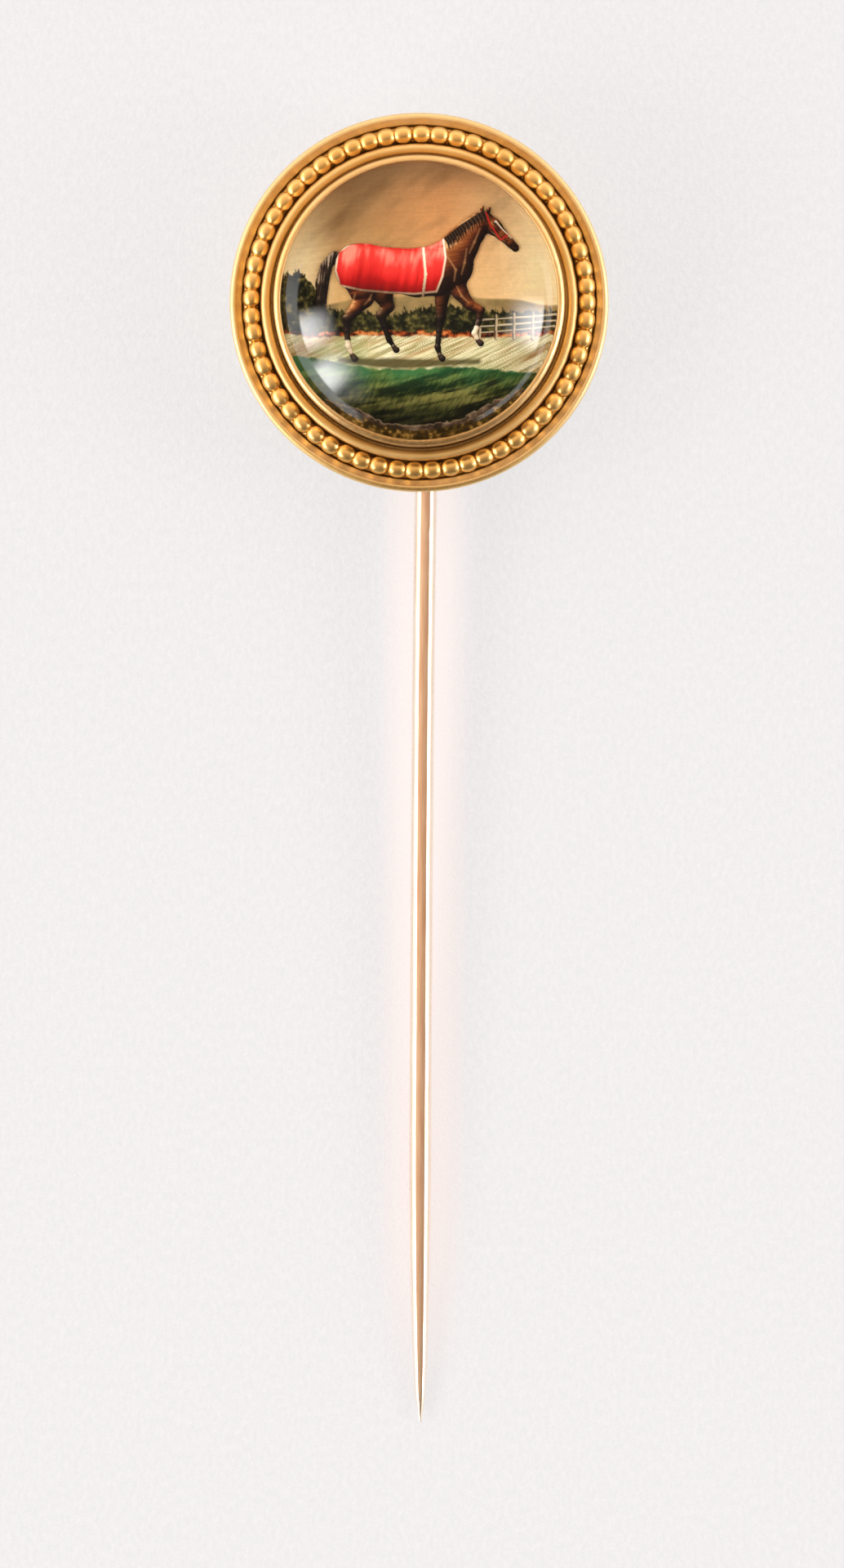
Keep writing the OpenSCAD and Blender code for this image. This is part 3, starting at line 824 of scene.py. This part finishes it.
def paint_fields(x, y, land):
    """Rust bank, pale stubble brushed aslant, and the green meadow in front."""
    ragged = cloudy(x, 0 * x, 51, 2.5) - 0.5
    dabs = 0.5 * cloudy(x * 0.6, y * 2.4, 53, 2.4) + 0.5 * cloudy(x, y, 55, 7.0, 2)
    earth = tones(dabs, (0.34, 26, 12, 8), (0.44, 96, 36, 16), (0.54, 168, 76, 34), (0.66, 212, 136, 72))
    land = over(land, earth, edge(bank_top(x) + 0.34 * ragged - y, 0.07))
    straw = tones(brushed(x, y, 57, 24, 1.5, 0.045), (0.28, 142, 134, 84), (0.42, 192, 184, 132),
                  (0.56, 220, 214, 168), (0.74, 248, 244, 210))
    straw = over(
        straw,
        (158, 116, 66), 3.2 * (brushed(x, y, 59, 22, 2.6, 0.3) - 0.56),
        (166, 180, 122), 2.2 * (cloudy(x, y, 61, 0.6) - 0.5),
        (250, 248, 226), 5 * (brushed(x, y, 62, 27, 1.1, 0.03) - 0.62)
    )
    land = over(land, straw, edge(bank_top(x) - 0.22 + 0.3 * (cloudy(x, 0 * x, 52, 1.7) - 0.5) - y, 0.06))
    mix = 0.35 * brushed(x, y, 67, 58, 0.34, 0.06) + 0.65 * brushed(x, y, 69, 12, 1.9, 0.24)
    grass = tones(mix, (0.3, 8, 18, 6), (0.42, 38, 50, 20), (0.54, 88, 94, 42), (0.7, 150, 146, 78))
    grass = over(grass, (22, 26, 12), 5 * (brushed(x, y, 63, 16, 1.5, 0.2) - 0.58),
                 (30, 88, 52), 1.2 * edge(y + 3.9, 1.2) * cloudy(x, y, 65, 1.1))
    grass = grass * np.interp(y, (-6.2, -5.2, -3.4), (0.35, 0.66, 1.16))[..., None]
    return over(land, grass, edge(meadow_top(x) + 0.2 * ragged - y, 0.1))


def paint_border(x, y, land):
    """The picture's lower edge, where the paint has flaked to a ragged grey-brown band over dark gold."""
    away = np.hypot(x, y)
    turn = np.degrees(np.arctan2(y, x))
    below = edge(turn + 128, 12) * edge(-46 - turn, 12)
    ragged = 0.3 * (cloudy(x, y, 101, 0.9, 4) - 0.5) + 0.1 * noise_over(x, y, 103, 6.0)
    start = 6.06 + ragged + 0.6 * (1 - below)
    dust = tones(cloudy(x, y, 105, 2.6, 4), (0.3, 54, 42, 32), (0.5, 92, 74, 58), (0.7, 134, 114, 96))
    crust = tones(cloudy(x, y, 107, 5.0, 3), (0.35, 52, 40, 10), (0.6, 92, 72, 24), (0.75, 190, 150, 80))
    return over(
        land,
        dust, edge(away - start, 0.05) * (below > 0),
        # A pale line along the band's inner edge is a painted highlight
        (168, 146, 120), 0.7 * edge(0.035 - np.abs(away - start - 0.03), 0.03) * (below > 0),
        crust, edge(away - 6.36 - 0.3 * ragged, 0.05) * edge(below - 0.3, 0.5)
    )


def paint_land(x, y):
    """The whole land and sky, in display colours from 0 to 255."""
    land = paint_fields(x, y, paint_hedge(x, y, paint_sky(x, y)))
    for rail in (-0.72, -1.02, -1.3):
        line = [(2.7, rail - 0.16, 0.035), (6.9, rail + 0.1, 0.055)]
        land = over(land, (54, 40, 30), edge(rounded(x, y + 0.04, [line])),
                    (206, 190, 158), edge(rounded(x, y, [line], grow=-0.012)))
    for place in (2.8, 3.6, 4.5, 5.5):
        far = place - 2.8
        post = [(place, -0.7 + 0.06 * far, 0.055), (place + 0.02, -1.72 - 0.04 * far, 0.06)]
        land = over(land, (50, 38, 28), edge(rounded(x + 0.04, y, [post])),
                    (196, 178, 146), edge(rounded(x, y, [post], grow=-0.015)))
    hx, hy = (x - HORSE_SHIFT[0]) / HORSE_SCALE, (y - HORSE_SHIFT[1]) / HORSE_SCALE
    shade = rounded(hx, hy + 2.48, [[(-3.3, 0.02, 0.1), (-0.9, -0.06, 0.2), (2.6, 0.0, 0.08)]])
    shade = shade + 0.1 * (brushed(x, y, 85, 14, 0.8, 0.1) - 0.5)
    return paint_border(x, y, over(land, (66, 60, 30), 0.8 * edge(shade, 0.22)))


def paint_horse(x, y, spacing):
    """Colours over a grid in the horse's own plane, and its height over the picture, below 0 outside."""
    light = np.array((-0.4, 0.68, 0.62))

    def lit(height, hairs):
        gy, gx = np.gradient(height, spacing)
        return (-gx * light[0] - gy * light[1] + light[2]) / np.sqrt(1 + gx * gx + gy * gy) + hairs

    def coat(shine):
        return tones(shine, *bay) * (1 - low) + tones(shine, *black) * low

    def lay(shape, paint, cover=1.0):
        nonlocal colour, depth
        colour = over(colour, paint, cover * edge(shape))
        depth = np.maximum(depth, shape)

    def limbs(darkness, hairs, *chains):
        for chain in chains:
            limb = rounded(x, y, [chain])
            lay(limb, coat(lit(limb, hairs)) * darkness)
    bay = ((-0.5, 16, 8, 7), (0.15, 34, 15, 10), (0.42, 74, 34, 18), (0.64, 122, 62, 30),
           (0.84, 170, 104, 56), (0.96, 226, 178, 124))
    black = ((-0.5, 8, 6, 6), (0.4, 28, 20, 18), (0.75, 62, 48, 40), (0.92, 128, 108, 90),
             (1.0, 176, 156, 134))
    red = ((-0.5, 84, 8, 12), (0.2, 164, 20, 20), (0.5, 216, 38, 36), (0.8, 238, 62, 56),
           (1.0, 252, 150, 132))
    white = ((-0.5, 120, 96, 72), (0.5, 222, 206, 172), (1.0, 254, 248, 228))
    grain = 0.3 * (brushed(x, y, 75, 12, 0.5, 0.05) - 0.5) + 0.34 * (cloudy(x, y, 77, 1.7, 3) - 0.5)
    strands = 0.9 * (brushed(x, y, 71, 86, 0.9, 0.055) - 0.5)
    low = edge(-0.42 - y, 0.5)[..., None]
    # Far side and tail first, then the near side over them
    tail = rounded(x, y, [TAIL]) + 0.16 * (brushed(x, y, 73, 84, 0.9, 0.07) - 0.5)
    depth = tail
    colour = tones(lit(tail, strands), *black)
    limbs(0.62, grain, FAR_FORE, FAR_HIND)
    limbs(0.8, grain, FAR_EAR)
    limbs(0.8, 0, *FAR_HOOVES)
    body = rounded(x, y, NEAR_BODY)
    shine = lit(body, grain)
    lay(body, coat(shine))
    # Muscles as thin light strokes, the way a fine brush sets them down
    for stroke in (
        [(1.3, 1.9, 0.02), (1.62, 1.4, 0.03), (1.55, 0.92, 0.01)],
        [(2.1, 2.3, 0.01), (2.0, 1.7, 0.03), (1.86, 1.2, 0.01)],
        [(2.7, 3.2, 0.01), (2.44, 2.6, 0.03), (2.2, 2.1, 0.01)],
        [(-2.6, 0.4, 0.01), (-2.7, 0.05, 0.03), (-2.9, -0.34, 0.01)],
        [(-1.9, 0.36, 0.01), (-1.98, 0.16, 0.02), (-2.2, -0.06, 0.01)],
        [(1.66, 0.7, 0.01), (1.86, 0.3, 0.03), (2.16, 0.02, 0.01)],
        [(3.2, 3.1, 0.01), (3.5, 2.86, 0.02), (3.8, 2.66, 0.01)]
    ):
        colour = over(colour, (214, 158, 100), 0.75 * edge(rounded(x, y, [stroke]), 0.1) * edge(body))
    limbs(1, 0, NEAR_EAR, *NEAR_HOOVES)
    for place, level in ((2.44, -1.24), (-2.93, -1.86)):
        sock = 0.3 - np.hypot((x - place) * 0.7, y - level)
        colour = over(colour, tones(shine, *white), edge(sock, 0.06) * edge(body))
    # Rug with its pale binding and surcingle
    under, inside = rounded(x, y, [TORSO, BACK], grow=0.05), polygon_depth(x, y, RUG)
    cloth = np.minimum(under, inside)
    folds = 0.4 * (brushed(x, y, 81, 80, 1.3, 0.2) - 0.5) + 0.12 * (cloudy(x, y, 83, 4) - 0.5)
    shine = lit(under, folds)
    lay(cloth, tones(shine, *red))
    rim = edge(cloth) * edge(0.085 - inside)
    girth = rounded(x, y, [[(0.24, 2.6, 0.05), (0.36, 1.2, 0.05), (0.24, 0.24, 0.05)]])
    belt = edge(girth) * edge(np.maximum(cloth, body))
    colour = over(colour, tones(shine, *white), np.maximum(rim, belt))
    # Mane, forelock, blaze, eye, nostril and mouth, then the headcollar
    for i in range(42):
        t = i / 41
        root = np.array([np.interp(t, (0, 0.5, 1), at) for at in ((1.18, 1.88, 2.9), (2.72, 3.32, 4.02))])
        drop = 0.42 + 0.12 * sin(i * 2.1)
        tip = root + (0.16 + 0.05 * sin(i * 3.3), -drop)
        lock = [(*root, 0.035), (*(root + (0.12, -0.18)), 0.035), (*tip, 0.008)]
        lay(rounded(x, y, [lock], 0.01), ((14, 9, 8), (34, 23, 18), (66, 48, 36))[i % 3], 0.9)
    for paint, cover, lines in (
        ((20, 13, 10), 1.0, [[(2.98, 4.05, 0.05), (3.14, 3.9, 0.05), (3.26, 3.7, 0.01)]]),
        ((232, 220, 200), 0.9, [[(3.42, 3.58, 0.045), (3.7, 3.24, 0.03), (4.1, 2.85, 0.03)]]),
        ((34, 22, 18), 0.7, [[(4.18, 2.56, 0.13), (4.32, 2.42, 0.15)]]),
        ((12, 7, 6), 1.0, [[(3.35, 3.49, 0.05), (3.42, 3.45, 0.045)]]),
        ((240, 226, 206), 1.0, [[(3.36, 3.52, 0.014), (3.38, 3.51, 0.014)]]),
        ((6, 4, 4), 1.0, [[(4.26, 2.52, 0.028), (4.32, 2.48, 0.028)]]),
        ((18, 9, 8), 0.8, [[(4.02, 2.4, 0.016), (4.3, 2.3, 0.014)]]),
        ((190, 34, 30), 1.0, [[(3.0, 3.96, 0.032), (3.14, 3.46, 0.032), (3.6, 2.74, 0.032)],
                              [(3.6, 2.72, 0.032), (3.92, 2.98, 0.032)]])
    ):
        shapes = [edge(rounded(x, y, [line], 0.01)) for line in lines]
        colour = over(colour, paint, cover * np.max(shapes, axis=0))
    return colour, depth


def painted(mesh, colours):
    """Keeps a colour for each point, turned from display values to linear ones."""
    share = np.clip(colours, 0, 255) / 255
    linear = np.where(share < 0.04, share / 12.92, ((share + 0.055) / 1.055) ** 2.4)
    layer = mesh.color_attributes.new("paint", "FLOAT_COLOR", "POINT")
    layer.data.foreach_set("color", np.concatenate([linear, np.ones((len(linear), 1))], 1).ravel())


def rim_of(quads):
    """The directed border edges of a sheet of quads."""
    sides = np.concatenate([quads[:, [i, (i + 1) % 4]] for i in range(4)]).tolist()
    there = {(a, b) for a, b in sides}
    return np.array([(a, b) for a, b in sides if (b, a) not in there])


def closed_sheet(name, points, quads, floor_z, colours):
    """A closed body under a sheet of quads. Its flat underside is one face if the sheet has one border."""
    rim = rim_of(quads)
    follows = dict(rim.tolist())
    loop = [int(rim[0, 0])]
    while follows[loop[-1]] != loop[0]:
        loop.append(follows[loop[-1]])
    single = len(loop) == len(rim)
    used = np.array(loop) if single else np.arange(len(points))
    below = np.zeros(len(points), int)
    below[used] = len(points) + np.arange(len(used))
    lower = points[used].copy()
    lower[:, 2] = floor_z
    walls = np.stack([rim[:, 1], rim[:, 0], below[rim[:, 0]], below[rim[:, 1]]], -1)
    floor = [tuple(below[used][::-1])] if single else below[quads[:, ::-1]].tolist()
    thing = mesh_object(name, np.concatenate([points, lower]), quads.tolist() + walls.tolist() + floor)
    painted(thing.data, np.concatenate([colours, colours[used]]))
    dressed(thing, PAINT, "painted_plate")


def land_piece():
    """The picture's plate: a round disc whose grid is a square one drawn out to a circle."""
    steps = 300
    line = np.linspace(-1, 1, steps + 1)
    u, v = np.meshgrid(line, line)
    x = (u * np.sqrt(1 - v * v / 2)).ravel() * PICTURE_R
    y = (v * np.sqrt(1 - u * u / 2)).ravel() * PICTURE_R
    field = edge(bank_top(x) - y, 0.12)
    relief = 0.45 * edge(hedge_top(x) - y, 0.15) + 0.35 * field
    relief = relief * (0.9 + 0.1 * noise_over(x, y, 91, 4)) + 0.15 * field * cloudy(x, y, 92, 3.0, 2)
    z = PLATE_HIGH[2] - FIGURE_RISE + LAND_RISE * relief
    points = np.stack([HEAD_X + x, HEAD_Y + y, z], -1)
    quads = grid_faces(steps + 1, steps + 1, False, False)[:, ::-1]
    closed_sheet("painted_land", points, quads, PLATE_LOW[2], paint_land(x, y))


def corners(grid):
    """The values of a grid at the four corners of each of its cells."""
    return [grid[:-1, :-1], grid[1:, :-1], grid[:-1, 1:], grid[1:, 1:]]


def horse_piece():
    """The painted horse: a fine grid kept where the figure is, with a smooth outline and low relief."""
    spacing = 0.024
    x, y = np.meshgrid(np.arange(-4.56, 4.64, spacing), np.arange(-2.64, 4.44, spacing))
    colours, depth = paint_horse(x, y, spacing)
    cell = np.all(corners(depth > 0), axis=0)
    # Stray cells go, so that no part of the outline is thinner than two cells
    for _ in range(2):
        block = np.all(corners(cell), axis=0)
        cell = np.any(corners(np.pad(block, 1)), axis=0)
    rows, columns = x.shape
    quads = grid_faces(rows, columns, False, False).reshape(rows - 1, columns - 1, 4)[cell][:, ::-1]
    used, quads = np.unique(quads, return_inverse=True)
    quads = quads.reshape(-1, 4)
    flat = np.stack([x.ravel()[used], y.ravel()[used]], -1)
    rim = rim_of(quads)
    here, there = np.concatenate([rim, rim[:, ::-1]]).T
    on_rim, beside = np.unique(here, return_counts=True)
    for _ in range(4):
        total = np.zeros_like(flat)
        np.add.at(total, here, flat[there])
        flat[on_rim] = 0.5 * flat[on_rim] + 0.5 * total[on_rim] / beside[:, None]
    fullness = 1 - np.exp(-np.maximum(depth.ravel()[used], 0) / 0.35)
    rise = LAND_RISE + (FIGURE_RISE - LAND_RISE) * 0.95 * fullness
    flat = flat * HORSE_SCALE + HORSE_SHIFT + (HEAD_X, HEAD_Y)
    points = np.column_stack([flat, PLATE_HIGH[2] - FIGURE_RISE + rise])
    floor_z = PLATE_HIGH[2] - FIGURE_RISE - LAND_RISE
    closed_sheet("painted_horse", points, quads, floor_z, colours.reshape(-1, 3)[used])


head_frame()
inner_ring()
bead_ring()
bezel()
crystal_dome()
stem()
land_piece()
horse_piece()


# Stage, light and camera

def painted_stem_glow(graph, place):
    """How much painted glow of the stem's warm light the paper gets: none 3 mm away from it or past its
    ends.
    """
    x, y = graph.add("SeparateXYZ", place).outputs[:2]
    lean = float((STEM_TOP[0] - POINT_END[0]) / (STEM_TOP[1] - POINT_END[1]))
    line_x = graph.math("ADD", graph.product(y, lean), float(POINT_END[0] - lean * POINT_END[1]) * MM)
    away = graph.math("ABSOLUTE", graph.math("SUBTRACT", x, line_x))
    beside = graph.soft_ramp(away, 0.7 * MM, 3.0 * MM, 1.0, 0.0)
    end_y = float(POINT_END[1]) * MM
    past_point = graph.soft_ramp(y, end_y - 2 * MM, end_y + 12 * MM)
    before_head = graph.soft_ramp(y, float(HEAD_Y - 3) * MM, float(HEAD_Y - 8) * MM)
    return graph.product(beside, past_point, before_head)


def paper():
    """The pale sheet of paper that the pin lies on. It glows evenly, and a painted warm glow lies beside
    the stem.
    """
    corners = [(x * PAPER_HALF, y * PAPER_HALF, -0.01) for x, y in ((-1, -1), (1, -1), (1, 1), (-1, 1))]
    thing = mesh_object("paper", corners, [(0, 1, 2, 3)], smooth=False)
    material, graph, place = new_material("paper")
    fibres = graph.ramp(graph.noise(place, 4200, 5, 0.62, (1.0, 0.5, 1.0)), 0.3, 0.7)
    sheet = graph.mix(fibres, (0.885, 0.9, 0.93), (0.975, 0.985, 1))
    glow = graph.mix(painted_stem_glow(graph, place), sheet, (1.1, 1.0, 0.98))
    shader = graph.out(
        "BsdfPrincipled", Base_Color=(0.16, 0.16, 0.17), Roughness=0.9, Emission_Color=glow,
        Emission_Strength=PAPER_GLOW, Normal=graph.bump(graph.noise(place, 5200, 5, 0.6), 8e-5)
    )
    graph.add("OutputMaterial", Surface=shader)
    thing.data.materials.append(material)


def soft_box(name, from_vertical, azimuth, width, height, watts):
    """A rectangular lamp that shines at the head from a direction in degrees. Its lower side is sharp."""
    lamp = bpy.data.lights.new(name, "AREA")
    lamp.shape = "RECTANGLE"
    lamp.size = width * MM
    lamp.size_y = height * MM
    lamp.energy = watts
    graph = Graph(lamp)
    x, y = graph.add("SeparateXYZ", graph.add("NewGeometry").outputs["Parametric"]).outputs[:2]
    sides = ((x, 0.0, 0.4), (x, 1.0, 0.6), (y, 0.0, 0.08), (y, 1.0, 0.2))
    graph.feed(graph.nodes["Emission"], Strength=graph.product(*(graph.soft_ramp(*side) for side in sides)))
    tilt, turn = radians(from_vertical), radians(azimuth)
    away = Vector((sin(tilt) * cos(turn), sin(tilt) * sin(turn), cos(tilt)))
    thing = placed(name, lamp)
    thing.location = (Vector((HEAD_X, HEAD_Y, HEAD_HIGH[2])) + away * LAMP_DISTANCE) * MM
    thing.rotation_euler = (-away).to_track_quat("-Z", "Y").to_euler()


def studio_world():
    """A tent that is dim overhead and dimmer towards the bottom, with bright white sides.

    The crystal mirrors a plainer room than the matt gold gathers: dark, with a pale band above the horizon.
    """
    world = bpy.data.worlds.new("studio")
    graph = Graph(world)
    calc, ramp, product = graph.math, graph.soft_ramp, graph.product
    x, y, z = graph.add("SeparateXYZ", graph.add("TexCoord").outputs["Generated"]).outputs

    def light(colour, strength):
        return graph.out("Background", Color=colour, Strength=strength)
    low = ramp(z, 0.74, 0.6)
    flat = calc("SQRT", calc("SUBTRACT", 1.0, product(z, z)))
    side = ramp(calc("DIVIDE", calc("ABSOLUTE", x), flat), 0.62, 0.92, 0.0, SIDE_GLOW)
    end = ramp(y, -0.4, 0.4, BOTTOM_GLOW, TOP_GLOW)
    overhead = ramp(calc("SUBTRACT", y, product(x, 0.3)), -0.7, 0.55, 0.3, 1.4)
    white = light((1, 1, 1), product(low, calc("ADD", side, end)))
    tent = graph.out("AddShader", light(OVERHEAD, overhead), white)
    # Slope of a polished dome that mirrors each direction straight up: across it, up it, and both
    halved = calc("SQRT", product(2.0, calc("ADD", 1.0001, z)))
    across, up = calc("DIVIDE", x, halved), calc("DIVIDE", y, halved)
    slope = calc("SQRT", calc("ADD", product(across, across), product(up, up)))
    band = product(
        ramp(calc("SUBTRACT", slope, product(across, 0.024)), 0.608, 0.622),
        ramp(calc("ABSOLUTE", across), 0.26, 0.34),
        ramp(up, 0.36, 0.0),
        BAND_GLOW
    )
    haze = product(
        ramp(across, -0.2, -0.36),
        ramp(up, -0.5, -0.44),
        ramp(up, -0.24, -0.36),
        ramp(slope, 0.66, 0.6),
        HAZE_GLOW
    )
    room = graph.out("AddShader", light(ROOM, 1.0), light((0.97, 1.0, 1.0), calc("ADD", band, haze)))
    ray = graph.add("LightPath").outputs
    mirrored = product(ray["Is Singular Ray"], calc("LESS_THAN", ray["Diffuse Depth"], 0.5))
    graph.feed(graph.nodes["World Output"], Surface=graph.out("MixShader", mirrored, tent, room))
    bpy.context.scene.world = world


def camera():
    """Straight down over the middle of the photo's frame."""
    middle_x = HEAD_X + (PHOTO_W / 2 - HEAD_PX[0]) / PX_PER_MM
    middle_y = HEAD_Y - (PHOTO_H / 2 - HEAD_PX[1]) / PX_PER_MM
    rim_z = HEAD_HIGH[2] - EDGE_R
    data = bpy.data.cameras.new("camera")
    data.sensor_fit = "VERTICAL"
    data.sensor_height = 24.0
    data.lens = data.sensor_height * CAMERA_DISTANCE / (PHOTO_H / PX_PER_MM)
    data.clip_start = 0.01
    data.clip_end = 10
    thing = placed("camera", data)
    thing.location = Vector((middle_x, middle_y, rim_z + CAMERA_DISTANCE)) * MM
    bpy.context.scene.camera = thing


paper()
studio_world()
# The tent has three brighter soft boxes in it, which the crystal mirrors at its sides
soft_box("left_lamp", 61, 193, 260, 280, 3.2)
soft_box("lower_left_lamp", 62, 217, 240, 280, 3.1)
soft_box("right_lamp", 63, 351, 320, 300, 4.4)
camera()
bpy.context.scene.view_settings.view_transform = "Standard"
